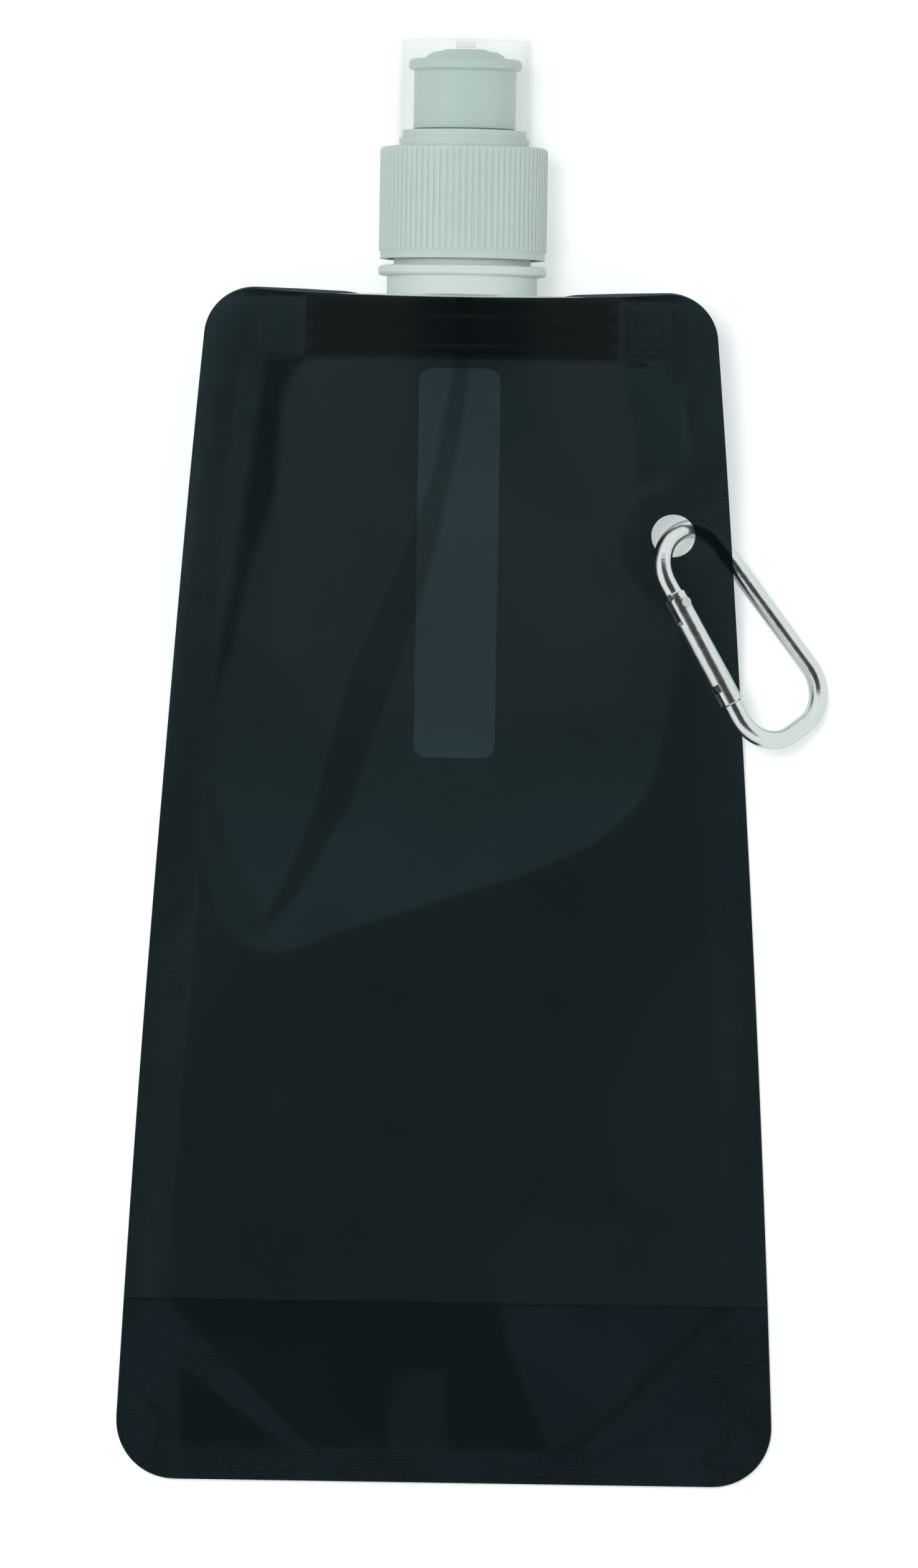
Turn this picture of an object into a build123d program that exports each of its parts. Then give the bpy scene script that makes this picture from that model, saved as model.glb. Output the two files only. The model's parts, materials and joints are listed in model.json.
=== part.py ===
from build123d import *
import os
from math import atan, cos, degrees, pi, radians, sin, sqrt

# Folding water bottle: a flat film pouch with a bottom gusset, a welded-in spout with a
# screw cap, push-pull nozzle and dust cap, and a small carabiner through a hole in the
# side weld. It lies on its back. X runs across the pouch, Y along it towards the spout,
# and Z up from the surface that it lies on. The origin is on that surface, under the
# centre of the flat lower half. Heights are measured along Y from the pouch's bottom
# edge. All sizes are in millimetres.

os.makedirs("parts", exist_ok=True)

# ---- pouch outline ----
pouch_length = 218.4
base_half_width = 60.5
middle_half_width = 54.6
top_half_width = 46.1
top_corner_r = 8.7
bottom_corner_r = 11.3
front_edge_dip = 2.0
back_edge_dip = 0.9
collar_dip = 1.0
collar_dip_run = 8.0
origin_height = 60.0
fold_height = 100.0
fold_gap = 0.3

# ---- film ----
film_t = 0.25
gusset_film_t = 0.2
layer_gap = 0.05
gusset_height = 33.0
side_weld = 8.0
weld_gap = 0.06
rise_wait = 18.0
rise_overlap = 0.3
bulge_run = 75.0
bulge_spread = 8.0
bulge_power = 2.25
bulge_blend = 0.12
boat_gap = 0.15
sheet_steps = 18
corner_steps = 8

# ---- neck, and the thread that it shares with the screw cap ----
neck_r = 12.5
neck_wall = 2.5
neck_h = 17.9
thread_pitch = 2.7
thread_turns = 2.0
thread_rise = 5.3
thread_depth = 1.1
thread_root_t = 1.3
thread_crest_t = 0.7
thread_clearance = 0.3
thread_sink = 0.25

# ---- screw cap ----
cap_root_clearance = 0.4
cap_wall = 1.3
cap_lift_off = 1.2
cap_band_h = 1.5
cap_band_step = 0.25
cap_groove = 0.28
cap_rib_count = 80
cap_rib_w = 0.66
cap_corner_r = 0.9
deck_t = 2.0
washer_t = 1.5
washer_gap = 0.15
washer_rim_gap = 0.7
washer_overhang = 0.5

# ---- spout: boat, collar and flange below the neck ----
flange_lip = 0.05
flange_t = 1.8
flange_edge_r = 0.6
collar_step = 1.2
collar_h = 3.6
boat_aspect = 2.317
boat_wall = 2.3
boat_height = 11.2
boat_inset = 1.5
boat_rib_count = 4
boat_rib_t = 1.5
boat_rib_depth = 0.7

# ---- tower, and the nozzle that slides on it ----
bead_r = 7.0
bead_h = 1.2
bead_step = 0.4
bead_edge_r = 0.4
tower_wall = 1.2
tower_h = 11.5
plug_r = 2.1
plug_rise = 5.4
plug_edge_r = 0.5
spoke_t = 1.4
spoke_h = 3.0
spoke_sink = 0.4
spoke_drop = 0.5
slide_clearance = 0.15
nozzle_wall = 2.175
nozzle_gap = 0.35
nozzle_body_h = 10.95
nozzle_flange_step = 0.975
nozzle_flange_h = 1.7
nozzle_edge = 0.5
nozzle_dome_r = 7.0
nozzle_dome_h = 1.4
nozzle_dome_drop = 0.35
nozzle_tip_r = 3.85
nozzle_tip_h = 0.4
nozzle_lip_h = 1.25
nozzle_lip_slope = 0.3
nozzle_roof_t = 2.2
nozzle_roof_slope = 2.0

# ---- dust cap, and the seat that it snaps over ----
seat_step = 1.55
seat_wall = 1.45
seat_h = 3.0
seat_tier_h = 1.5
seat_tier_step = 0.5
seat_clearance = 0.1
dust_wall = 0.7
dust_draft = 0.3
dust_room = 2.6
dust_top_t = 1.0
dust_crown = 0.3
dust_corner_r = 1.2
dust_gap = 0.15
nub_r = 1.75
nub_h = 1.2

# ---- carabiner ----
wire_r = 1.7
hole_play = 4.67
hole_inset = 10.58
hole_drop = 44.5
ring_length = 45.7
hook_half_width = 6.5
bend_half_width = 10.2
hook_corner_step = 0.4
bend_corner_step = 2.6
ring_heading = -57.0
ring_lift = 5.0
ring_tilt = 40.4
ring_side_step = 0.35
ring_rim_step = 0.25
rivet_along = 12.6
root_overlap = 1.0

# ---- gate, with its rivet, plunger and spring ----
gate_bulk = 0.45
gate_nose_step = 0.15
gate_length = 22.5
slot_clearance = 0.15
tongue_t = 1.5
tongue_half_w = 1.3
tongue_reach = 2.6
shoulder_gap = 0.3
top_slot_end = 3.4
latch_t = 1.3
latch_half_w = 1.2
latch_reach = 3.9
latch_head_t = 2.4
latch_head_l = 1.0
latch_clearance = 0.25
rivet_r = 0.7
rivet_clearance = 0.05
rivet_seat_gap = 0.02
rivet_head_step = 0.25
rivet_head_t = 0.3
gate_wall = 0.9
spring_bore_end = 14.0
plunger_clearance = 0.15
plunger_l = 2.6
plunger_pin_gap = 0.19
plunger_pin_l = 2.0
plunger_gap = 0.1
plunger_edge_r = 0.4
spring_clearance = 0.14
spring_wire_r = 0.16
spring_pitch = 0.95
spring_seat_gap = 0.05

# ---- radii that follow from the sizes above ----
bore_r = neck_r - neck_wall
cap_bore_r = neck_r + thread_depth + cap_root_clearance
cap_crest_r = cap_bore_r + cap_wall
cap_band_r = cap_crest_r - cap_band_step
flange_r = cap_crest_r + flange_lip
collar_r = neck_r + collar_step
boat_half_depth = bore_r + boat_wall
boat_half_width = boat_half_depth * boat_aspect
tower_r = bead_r - bead_step
tower_bore_r = tower_r - tower_wall
sleeve_r = bead_r + slide_clearance
nozzle_r = sleeve_r + nozzle_wall
nozzle_flange_r = nozzle_r + nozzle_flange_step
seat_r = nozzle_flange_r + seat_step
dust_bottom_r = seat_r + seat_clearance + dust_wall
dust_top_r = dust_bottom_r - dust_draft
hole_r = wire_r + hole_play / 2
hook_corner_r = hook_half_width + hook_corner_step
bend_corner_r = bend_half_width - bend_corner_step
gate_r = wire_r + gate_bulk
gate_nose = gate_r + gate_nose_step
spring_bore_r = gate_r - gate_wall
plunger_r = spring_bore_r - plunger_clearance
spring_r = spring_bore_r - spring_clearance - spring_wire_r
plunger_pin_r = spring_r - spring_wire_r - plunger_pin_gap

# ---- heights and places that follow from the sizes above ----
base_y = -origin_height
axis_z = flange_r
inner_gap = 2 * gusset_film_t + 3 * layer_gap
flat_mid_z = film_t + inner_gap / 2
boat_top = pouch_length - boat_inset
boat_bottom = boat_top - boat_height
rise_start = fold_height + rise_wait
rise_end = boat_bottom + rise_overlap
hole_height = pouch_length - hole_drop
flange_height = boat_top + collar_h
neck_bottom = flange_height + flange_t
neck_top = neck_bottom + neck_h
thread_start = neck_bottom + thread_rise
cap_bottom = neck_bottom + cap_lift_off
deck_bottom = neck_top + washer_t + 2 * washer_gap
cap_top = deck_bottom + deck_t
tower_top = cap_top + tower_h
nozzle_bottom = cap_top + seat_h + nozzle_gap
nozzle_shoulder = nozzle_bottom + nozzle_body_h
nozzle_dome_bottom = nozzle_shoulder + nozzle_flange_h
nozzle_dome_top = nozzle_dome_bottom + nozzle_dome_h
nozzle_top = nozzle_dome_top + nozzle_tip_h
nozzle_roof = nozzle_top - nozzle_roof_t
dust_bottom = cap_top + dust_gap
dust_top = nozzle_top + dust_room
dust_roof = dust_top - dust_top_t

floor_plane = Plane(origin=(0, base_y, 0))
axis_plane = Plane(origin=(0, base_y, axis_z))
side_plane = Plane(origin=(0, base_y, 0), x_dir=(0, 1, 0), z_dir=(1, 0, 0))
spout_axis = Axis((0, base_y, axis_z), (0, 1, 0))


def across(height):
    """The plane square to the spout's axis at a height, with its normal towards the spout."""
    return Plane(origin=(0, base_y + height, axis_z), x_dir=(1, 0, 0), z_dir=(0, 1, 0))


# The upper half rises from the flat in a smooth S, up to the spout's axis, and the two
# sheets part in a lens that fits round the spout's boat and fades out towards the fold.


def middle_z(height):
    """The height in Z of the pouch's middle surface."""
    share = min(max((height - rise_start) / (rise_end - rise_start), 0), 1)
    return flat_mid_z + (axis_z - flat_mid_z) * (1 - cos(pi * share)) / 2


def swell(x, height):
    """How far each sheet stands off the flat pack, over the boat and below it."""
    share = min(max((boat_bottom - height) / bulge_run, 0), 1)
    depth = (boat_half_depth + boat_gap - inner_gap / 2) * (1 + cos(pi * share)) / 2
    lens = 1 - abs(x / (boat_half_width + bulge_spread * share)) ** bulge_power
    return depth * (lens + sqrt(lens**2 + bulge_blend**2)) / 2


def eased(value):
    """A smooth step from 0 to 1 over values from 0 to 1."""
    share = min(max(value, 0), 1)
    return share * share * (3 - 2 * share)


def half_width(height):
    """Half the pouch's width: bowed sides, and rounded corners at the top."""
    share = height / pouch_length
    bowed = (
        base_half_width * (1 - share) * (1 - 2 * share)
        + 4 * middle_half_width * share * (1 - share)
        + top_half_width * share * (2 * share - 1)
    )
    into_corner = max(height - (pouch_length - top_corner_r), 0)
    return bowed - top_corner_r + sqrt(max(top_corner_r**2 - into_corner**2, 0))


def edge_dip(side, x):
    """How far a sheet's top edge dips below its corners; the back one also clears the collar."""
    bow = 1 - (x / top_half_width) ** 2
    if side > 0:
        return front_edge_dip * bow
    return back_edge_dip * bow + collar_dip * (1 - eased((abs(x) - collar_r) / collar_dip_run))


def upper_sheet(side):
    """The inner face of a sheet's upper half, at the front (side 1) or the back (side -1)."""
    start = fold_height + fold_gap / 2
    length = pouch_length - top_corner_r - start
    straight = [start + length * step / sheet_steps for step in range(sheet_steps)]
    corner = [
        pouch_length - top_corner_r * (1 - sin(pi / 2 * step / corner_steps))
        for step in range(corner_steps + 1)
    ]
    rows = []
    for height in straight + corner:
        row = []
        for column in range(-sheet_steps, sheet_steps + 1):
            x = half_width(height) * column / sheet_steps
            near_top = max(height - boat_bottom, 0) / (pouch_length - boat_bottom)
            z = middle_z(height) + side * (inner_gap / 2 + swell(x, height))
            row.append(Vector(x, base_y + height - edge_dip(side, x) * near_top, z))
        rows.append(row)
    return Face.make_surface_from_array_of_points(rows, tol=0.02)


# The lower half is flat, and its outline is the same as the upper half's at the fold.
with BuildSketch() as lower_outline:
    with BuildLine():
        bottom = Line((-base_half_width, 0), (base_half_width, 0))
        right = ThreePointArc(
            bottom @ 1, (half_width(fold_height / 2), fold_height / 2),
            (half_width(fold_height - fold_gap / 2), fold_height - fold_gap / 2),
        )
        fold = Line(right @ 1, (-(right @ 1).X, (right @ 1).Y))
        ThreePointArc(fold @ 1, (-half_width(fold_height / 2), fold_height / 2), bottom @ 0)
    make_face()
    fillet(lower_outline.vertices().group_by(Axis.Y)[0], bottom_corner_r)

hole_slope = middle_z(hole_height + 0.5) - middle_z(hole_height - 0.5)
hole_x = half_width(hole_height) - hole_inset
hole_centre = Vector(hole_x, base_y + hole_height, middle_z(hole_height))
film_normal = Vector(0, -hole_slope, 1).normalized()
hole_plane = Plane(origin=hole_centre, x_dir=(1, 0, 0), z_dir=film_normal)

with BuildPart() as hanging_hole:
    with BuildSketch(hole_plane):
        Circle(hole_r)
    extrude(amount=axis_z, both=True)

# ---- back sheet: flat below the fold line, on the surface that the bottle lies on ----
with BuildPart() as back_panel_lower:
    with BuildSketch(floor_plane):
        add(lower_outline.sketch)
    extrude(amount=film_t)

with BuildPart() as back_panel_upper:
    extrude(to_extrude=upper_sheet(-1), amount=film_t, dir=(0, 0, -1))
    add(hanging_hole.part, mode=Mode.SUBTRACT)

# ---- front sheet: below the fold line its side welds fill the gap down to the back sheet ----
with BuildPart() as front_panel_lower:
    with BuildSketch(floor_plane.offset(film_t + inner_gap)):
        add(lower_outline.sketch)
    extrude(amount=film_t)
    with BuildSketch(floor_plane.offset(film_t + weld_gap)):
        add(lower_outline.sketch)
        offset(amount=-side_weld, mode=Mode.SUBTRACT)
        Rectangle(3 * base_half_width, 2 * (gusset_height + layer_gap), mode=Mode.SUBTRACT)
        with Locations((0, fold_height)):
            Rectangle(2 * (half_width(fold_height) - side_weld), 3 * side_weld, mode=Mode.SUBTRACT)
    extrude(amount=inner_gap - weld_gap)

with BuildPart() as front_panel_upper:
    extrude(to_extrude=upper_sheet(1), amount=film_t, dir=(0, 0, 1))
    add(hanging_hole.part, mode=Mode.SUBTRACT)

# ---- bottom gusset: one sheet folded upwards between the front and back sheets ----
with BuildPart() as bottom_gusset:
    with BuildSketch(side_plane):
        with Locations((0, film_t + layer_gap)):
            SlotOverall(
                2 * gusset_height, inner_gap - 2 * layer_gap, align=(Align.CENTER, Align.MIN)
            )
            with Locations((0, gusset_film_t)):
                SlotOverall(
                    2 * (gusset_height - gusset_film_t), layer_gap,
                    align=(Align.CENTER, Align.MIN), mode=Mode.SUBTRACT,
                )
    extrude(amount=2 * base_half_width, both=True)
    with BuildSketch(floor_plane):
        add(lower_outline.sketch)
    extrude(amount=axis_z, mode=Mode.INTERSECT)


# ---- spout: a lens-shaped boat with weld ribs, and a threaded neck above a flange ----
def lens(inset):
    """The boat's section: two arcs that meet in points at both ends."""
    half_width = boat_half_width - 2 * inset
    half_depth = boat_half_depth - inset
    with BuildSketch() as section:
        with BuildLine():
            ThreePointArc((-half_width, 0), (0, half_depth), (half_width, 0))
            ThreePointArc((half_width, 0), (0, -half_depth), (-half_width, 0))
        make_face()
    return section.sketch


def thread(radius, height, depth):
    """A ridge that winds along the spout's axis, its root sunk a little in the wall."""
    sink = -thread_sink if depth > 0 else thread_sink
    with BuildPart() as ridge:
        with BuildLine():
            helix = Helix(
                thread_pitch, thread_turns * thread_pitch, radius,
                center=(0, base_y + height, axis_z), direction=(0, 1, 0),
            )
        start = helix @ 0
        outward = Vector(start.X, 0, start.Z - axis_z).normalized()
        with BuildSketch(Plane(origin=start, x_dir=outward, z_dir=helix % 0)):
            with BuildLine():
                Polyline(
                    (sink, -thread_root_t / 2), (depth, -thread_crest_t / 2),
                    (depth, thread_crest_t / 2), (sink, thread_root_t / 2), close=True,
                )
            make_face()
        sweep(path=helix, is_frenet=True)
    return ridge.part


boat_core = lens(boat_rib_depth)
boat_crest = lens(0)
neck_thread = thread(neck_r, thread_start, thread_depth)
cap_thread = thread(cap_bore_r, thread_start + thread_pitch / 2, neck_r + thread_clearance - cap_bore_r)

with BuildPart() as spout:
    with BuildSketch(across(boat_bottom)):
        add(boat_core)
    extrude(amount=boat_height)
    for rib in range(boat_rib_count):
        rib_step = (boat_height - boat_rib_t) / (boat_rib_count - 1)
        with BuildSketch(across(boat_bottom + rib * rib_step)):
            add(boat_crest)
        extrude(amount=boat_rib_t)
    with BuildSketch(across(boat_top)):
        Circle(collar_r)
    extrude(amount=flange_height - boat_top)
    with BuildSketch(across(flange_height)):
        Circle(flange_r)
    flange = extrude(amount=flange_t)
    fillet(flange.edges().filter_by(GeomType.CIRCLE), flange_edge_r)
    with BuildSketch(across(neck_bottom)):
        Circle(neck_r)
    extrude(amount=neck_top - neck_bottom)
    add(neck_thread)
    with BuildSketch(across(boat_bottom)):
        Circle(bore_r)
    extrude(amount=neck_top - boat_bottom, mode=Mode.SUBTRACT)

# ---- washer: seals the neck's rim against the cap's deck ----
with BuildPart() as sealing_washer:
    with BuildSketch(across(neck_top + washer_gap)):
        Circle(cap_bore_r - washer_rim_gap)
        Circle(bore_r - washer_overhang, mode=Mode.SUBTRACT)
    extrude(amount=washer_t)

# ---- screw cap: ribbed skirt, deck, dust-cap seat, and the tower with its plug ----
with BuildPart() as screw_cap:
    with BuildSketch(across(cap_bottom)):
        Circle(cap_band_r)
    extrude(amount=cap_band_h)
    with BuildSketch(across(cap_bottom + cap_band_h)):
        Circle(cap_crest_r - cap_groove)
        with PolarLocations(cap_crest_r - cap_groove, cap_rib_count):
            Rectangle(2 * cap_groove, cap_rib_w)
    extrude(amount=cap_top - cap_bottom - cap_band_h)
    with BuildSketch(axis_plane) as crown:
        with BuildLine():
            Polyline(
                (0, cap_bottom), (cap_crest_r, cap_bottom), (cap_crest_r, cap_top), (0, cap_top), close=True
            )
        make_face()
        fillet(crown.vertices().sort_by_distance((cap_crest_r, cap_top))[0], cap_corner_r)
    revolve(axis=spout_axis, mode=Mode.INTERSECT)
    with BuildSketch(across(cap_bottom)):
        Circle(cap_bore_r)
    extrude(amount=deck_bottom - cap_bottom, mode=Mode.SUBTRACT)
    with BuildSketch(across(cap_top)):
        Circle(seat_r)
        Circle(seat_r - seat_wall, mode=Mode.SUBTRACT)
    extrude(amount=seat_tier_h)
    with BuildSketch(across(cap_top + seat_tier_h)):
        Circle(seat_r - seat_tier_step)
        Circle(seat_r - seat_wall, mode=Mode.SUBTRACT)
    extrude(amount=seat_h - seat_tier_h)
    with BuildSketch(across(cap_top)):
        Circle(tower_r)
    extrude(amount=tower_h)
    with BuildSketch(across(tower_top - bead_h)):
        Circle(bead_r)
    bead = extrude(amount=bead_h)
    fillet(bead.edges().group_by(Axis.Y)[-1], bead_edge_r)
    with BuildSketch(across(deck_bottom)):
        Circle(tower_bore_r)
    extrude(amount=deck_t + tower_h, mode=Mode.SUBTRACT)
    with BuildSketch(across(tower_top - spoke_h)):
        Circle(plug_r)
        with PolarLocations(0, 3):
            Rectangle(tower_bore_r + spoke_sink, spoke_t, align=(Align.MIN, Align.CENTER))
    extrude(amount=spoke_h - spoke_drop)
    with BuildSketch(across(tower_top - spoke_h)):
        Circle(plug_r)
    plug = extrude(amount=plug_rise + spoke_h)
    fillet(plug.edges().group_by(Axis.Y)[-1], plug_edge_r)
    add(cap_thread)

# ---- nozzle: a sleeve with a finger flange, whose lip catches under the tower's bead ----
with BuildPart() as nozzle:
    lip_top = nozzle_bottom + nozzle_lip_h
    outlet_r = plug_r + slide_clearance
    guide_r = tower_r + slide_clearance
    with BuildSketch(axis_plane):
        with BuildLine():
            Polyline(
                (guide_r, nozzle_bottom), (nozzle_r, nozzle_bottom),
                (nozzle_r, nozzle_shoulder - nozzle_edge), (nozzle_flange_r, nozzle_shoulder),
                (nozzle_flange_r, nozzle_dome_bottom - nozzle_edge),
                (nozzle_flange_r - nozzle_edge, nozzle_dome_bottom),
                (nozzle_dome_r + nozzle_edge, nozzle_dome_bottom),
            )
            ThreePointArc(
                (nozzle_dome_r + nozzle_edge, nozzle_dome_bottom),
                (nozzle_dome_r - nozzle_edge, nozzle_dome_top - nozzle_dome_drop),
                (nozzle_tip_r + nozzle_edge, nozzle_dome_top),
            )
            Polyline(
                (nozzle_tip_r + nozzle_edge, nozzle_dome_top), (nozzle_tip_r, nozzle_top),
                (outlet_r, nozzle_top), (outlet_r, nozzle_roof),
                (nozzle_tip_r + nozzle_edge, nozzle_roof), (sleeve_r, nozzle_roof - nozzle_roof_slope),
                (sleeve_r, lip_top + nozzle_lip_slope), (guide_r, lip_top), (guide_r, nozzle_bottom),
            )
        make_face()
    revolve(axis=spout_axis)

# ---- dust cap: a clear cup that snaps over the seat and covers the nozzle ----
with BuildPart() as dust_cap:
    dust_rim = dust_top - dust_crown
    with BuildSketch(axis_plane) as cup:
        with BuildLine():
            ThreePointArc((0, dust_top), (dust_top_r / 2, dust_top - dust_crown / 4), (dust_top_r, dust_rim))
            Polyline(
                (dust_top_r, dust_rim), (dust_bottom_r, dust_bottom),
                (dust_bottom_r - dust_wall, dust_bottom), (dust_top_r - dust_wall, dust_roof),
                (nub_r, dust_roof), (nub_r, dust_roof - nub_h), (0, dust_roof - nub_h), (0, dust_top),
            )
        make_face()
        fillet(cup.vertices().sort_by_distance((dust_top_r, dust_rim))[0], dust_corner_r)
    revolve(axis=spout_axis)

# ---- carabiner: its ring plane is laid through the hanging hole, gate side raised ----
# The ring lies along the film from the hole, a little lifted off it, and leans over the film.
film_heading = hole_plane.x_dir.rotate(Axis((0, 0, 0), film_normal), ring_heading)
inner_side = film_heading.cross(film_normal)
along = film_heading.rotate(Axis((0, 0, 0), inner_side), ring_lift)
raised_side = inner_side.rotate(Axis((0, 0, 0), along), -ring_tilt)
ring_normal = along.cross(raised_side)
ring_origin = hole_centre - inner_side * ring_rim_step - along * wire_r - raised_side * ring_side_step
ring_plane = Plane(origin=ring_origin, x_dir=along, z_dir=ring_normal)

arm_slope = (bend_half_width - hook_half_width) / (ring_length - 2 * wire_r)
arm_angle = degrees(atan(arm_slope))


def arm_half_width(distance):
    """The arm's distance from the ring's middle line, at a distance from the hook's top."""
    return hook_half_width + (distance - wire_r) * arm_slope


rivet_half_width = arm_half_width(rivet_along)
rivet_point = ring_plane.from_local_coords(Vector(rivet_along, rivet_half_width, 0))
gate_direction = along.rotate(Axis((0, 0, 0), ring_normal), arm_angle)
gate_plane = Plane(origin=rivet_point, x_dir=gate_direction, z_dir=ring_normal)
gate_end = gate_length - gate_nose
tongue_root = -gate_nose - shoulder_gap
latch_root = gate_end + shoulder_gap

with BuildPart() as carabiner_frame:
    with BuildLine(ring_plane) as wire_path:
        FilletPolyline(
            (rivet_along + tongue_root * cos(radians(arm_angle)), arm_half_width(rivet_along + tongue_root)),
            (wire_r, hook_half_width),
            (wire_r, -hook_half_width),
            (ring_length - wire_r, -bend_half_width),
            (ring_length - wire_r, bend_half_width),
            (rivet_along + latch_root * cos(radians(arm_angle)), arm_half_width(rivet_along + latch_root)),
            radius=(hook_corner_r, hook_corner_r, bend_corner_r, bend_corner_r),
        )
    with BuildSketch(Plane(origin=wire_path.line @ 0, z_dir=wire_path.line % 0)):
        Circle(wire_r)
    sweep()
    with BuildSketch(gate_plane):
        with Locations((tongue_root - root_overlap, 0)):
            Rectangle(
                tongue_reach + root_overlap - tongue_root, 2 * tongue_half_w,
                align=(Align.MIN, Align.CENTER),
            )
        Circle(rivet_r + rivet_clearance, mode=Mode.SUBTRACT)
    extrude(amount=tongue_t / 2, both=True)
    with BuildSketch(gate_plane):
        with Locations((gate_end - latch_reach + latch_head_l, 0)):
            Rectangle(
                latch_reach - latch_head_l + shoulder_gap + root_overlap, 2 * latch_half_w,
                align=(Align.MIN, Align.CENTER),
            )
    extrude(amount=latch_t / 2, both=True)
    with BuildSketch(gate_plane):
        with Locations((gate_end - latch_reach, 0)):
            Rectangle(latch_head_l, 2 * latch_half_w, align=(Align.MIN, Align.CENTER))
    extrude(amount=latch_head_t / 2, both=True)

# ---- gate: a round bar, slotted at both ends and bored for its spring ----
with BuildPart() as carabiner_gate:
    with BuildSketch(Plane(origin=gate_plane.from_local_coords((-gate_nose, 0, 0)), z_dir=gate_direction)):
        Circle(gate_r)
    extrude(amount=gate_length)
    with BuildSketch(gate_plane):
        Circle(gate_nose)
        with Locations((gate_length / 2, 0)):
            Rectangle(gate_length, 3 * gate_r)
    extrude(amount=2 * gate_r, both=True, mode=Mode.INTERSECT)
    with BuildSketch(gate_plane):
        with Locations((-2 * gate_nose, 0)):
            Rectangle(2 * gate_nose + top_slot_end, 3 * gate_r, align=(Align.MIN, Align.CENTER))
    extrude(amount=tongue_t / 2 + slot_clearance, both=True, mode=Mode.SUBTRACT)
    with BuildSketch(Plane(origin=rivet_point, z_dir=gate_direction)):
        Circle(spring_bore_r)
    extrude(amount=spring_bore_end, mode=Mode.SUBTRACT)
    with BuildSketch(gate_plane):
        Circle(rivet_r + rivet_seat_gap)
    extrude(amount=2 * gate_r, both=True, mode=Mode.SUBTRACT)
    latch_mouth = latch_half_w + latch_clearance
    with BuildSketch(gate_plane):
        with Locations((gate_end - latch_reach, -latch_mouth)):
            Rectangle(2 * latch_reach, latch_mouth + 2 * gate_r, align=(Align.MIN, Align.MIN))
    extrude(amount=latch_t / 2 + slot_clearance, both=True, mode=Mode.SUBTRACT)
    with BuildSketch(gate_plane):
        with Locations((gate_end - latch_reach - latch_clearance, -latch_mouth)):
            Rectangle(
                latch_head_l + 2 * latch_clearance, latch_mouth + 2 * gate_r,
                align=(Align.MIN, Align.MIN),
            )
    extrude(amount=latch_head_t / 2 + slot_clearance, both=True, mode=Mode.SUBTRACT)

# ---- rivet: pins the gate to the ring's tongue, with a flat head on each side ----
with BuildPart() as gate_rivet:
    with BuildSketch(gate_plane):
        Circle(rivet_r)
    extrude(amount=gate_r, both=True)
    for side in (1, -1):
        with BuildSketch(gate_plane.offset(side * gate_r)):
            Circle(rivet_r + rivet_head_step)
        extrude(amount=side * rivet_head_t)

# ---- plunger and spring: push on the tongue's end, so that the gate swings shut ----
plunger_start = tongue_reach + plunger_gap
plunger_end = plunger_start + plunger_l
with BuildPart() as gate_plunger:
    plunger_plane = Plane(origin=gate_plane.from_local_coords((plunger_start, 0, 0)), z_dir=gate_direction)
    with BuildSketch(plunger_plane):
        Circle(plunger_r)
    extrude(amount=plunger_l)
    with BuildSketch(plunger_plane.offset(plunger_l)):
        Circle(plunger_pin_r)
    extrude(amount=plunger_pin_l)
    rims = gate_plunger.edges().filter_by(GeomType.CIRCLE)
    fillet(rims.sort_by_distance(plunger_plane.origin)[0], plunger_edge_r)

with BuildPart() as gate_spring:
    spring_seat = spring_wire_r + spring_seat_gap
    spring_start = gate_plane.from_local_coords((plunger_end + spring_seat, 0, 0))
    spring_length = spring_bore_end - plunger_end - 2 * spring_seat
    with BuildLine():
        coil = Helix(spring_pitch, spring_length, spring_r, center=spring_start, direction=gate_direction)
    with BuildSketch(Plane(origin=coil @ 0, z_dir=coil % 0)):
        Circle(spring_wire_r)
    sweep(path=coil, is_frenet=True)

# ---- labels and files ----
pieces = {
    "back_panel_lower": back_panel_lower,
    "back_panel_upper": back_panel_upper,
    "front_panel_lower": front_panel_lower,
    "front_panel_upper": front_panel_upper,
    "bottom_gusset": bottom_gusset,
    "spout": spout,
    "sealing_washer": sealing_washer,
    "screw_cap": screw_cap,
    "nozzle": nozzle,
    "dust_cap": dust_cap,
    "carabiner_frame": carabiner_frame,
    "carabiner_gate": carabiner_gate,
    "gate_rivet": gate_rivet,
    "gate_plunger": gate_plunger,
    "gate_spring": gate_spring,
}
for name, piece in pieces.items():
    piece.part.label = name
    export_step(piece.part, f"parts/{name}.step")
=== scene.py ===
import json
import math

import bpy
import numpy as np
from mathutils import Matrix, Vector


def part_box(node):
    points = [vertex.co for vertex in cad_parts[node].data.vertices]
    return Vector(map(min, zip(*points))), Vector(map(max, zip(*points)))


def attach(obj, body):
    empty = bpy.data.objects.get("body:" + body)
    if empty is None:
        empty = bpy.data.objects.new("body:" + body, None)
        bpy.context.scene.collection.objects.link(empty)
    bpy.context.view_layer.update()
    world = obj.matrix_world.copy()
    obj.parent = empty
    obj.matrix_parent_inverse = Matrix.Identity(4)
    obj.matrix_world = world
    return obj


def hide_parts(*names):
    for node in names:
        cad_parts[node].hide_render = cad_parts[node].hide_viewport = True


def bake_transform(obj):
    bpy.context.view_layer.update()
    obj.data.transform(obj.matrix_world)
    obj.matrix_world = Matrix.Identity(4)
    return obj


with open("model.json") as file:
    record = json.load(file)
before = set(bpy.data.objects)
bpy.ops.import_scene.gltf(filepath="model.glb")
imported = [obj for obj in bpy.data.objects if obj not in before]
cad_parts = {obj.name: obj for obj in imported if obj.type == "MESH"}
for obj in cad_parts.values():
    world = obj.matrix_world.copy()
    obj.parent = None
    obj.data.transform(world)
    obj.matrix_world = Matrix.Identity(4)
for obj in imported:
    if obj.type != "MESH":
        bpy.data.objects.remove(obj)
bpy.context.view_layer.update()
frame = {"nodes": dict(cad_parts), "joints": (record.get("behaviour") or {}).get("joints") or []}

bpy.ops.object.select_all(action="DESELECT")

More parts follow.
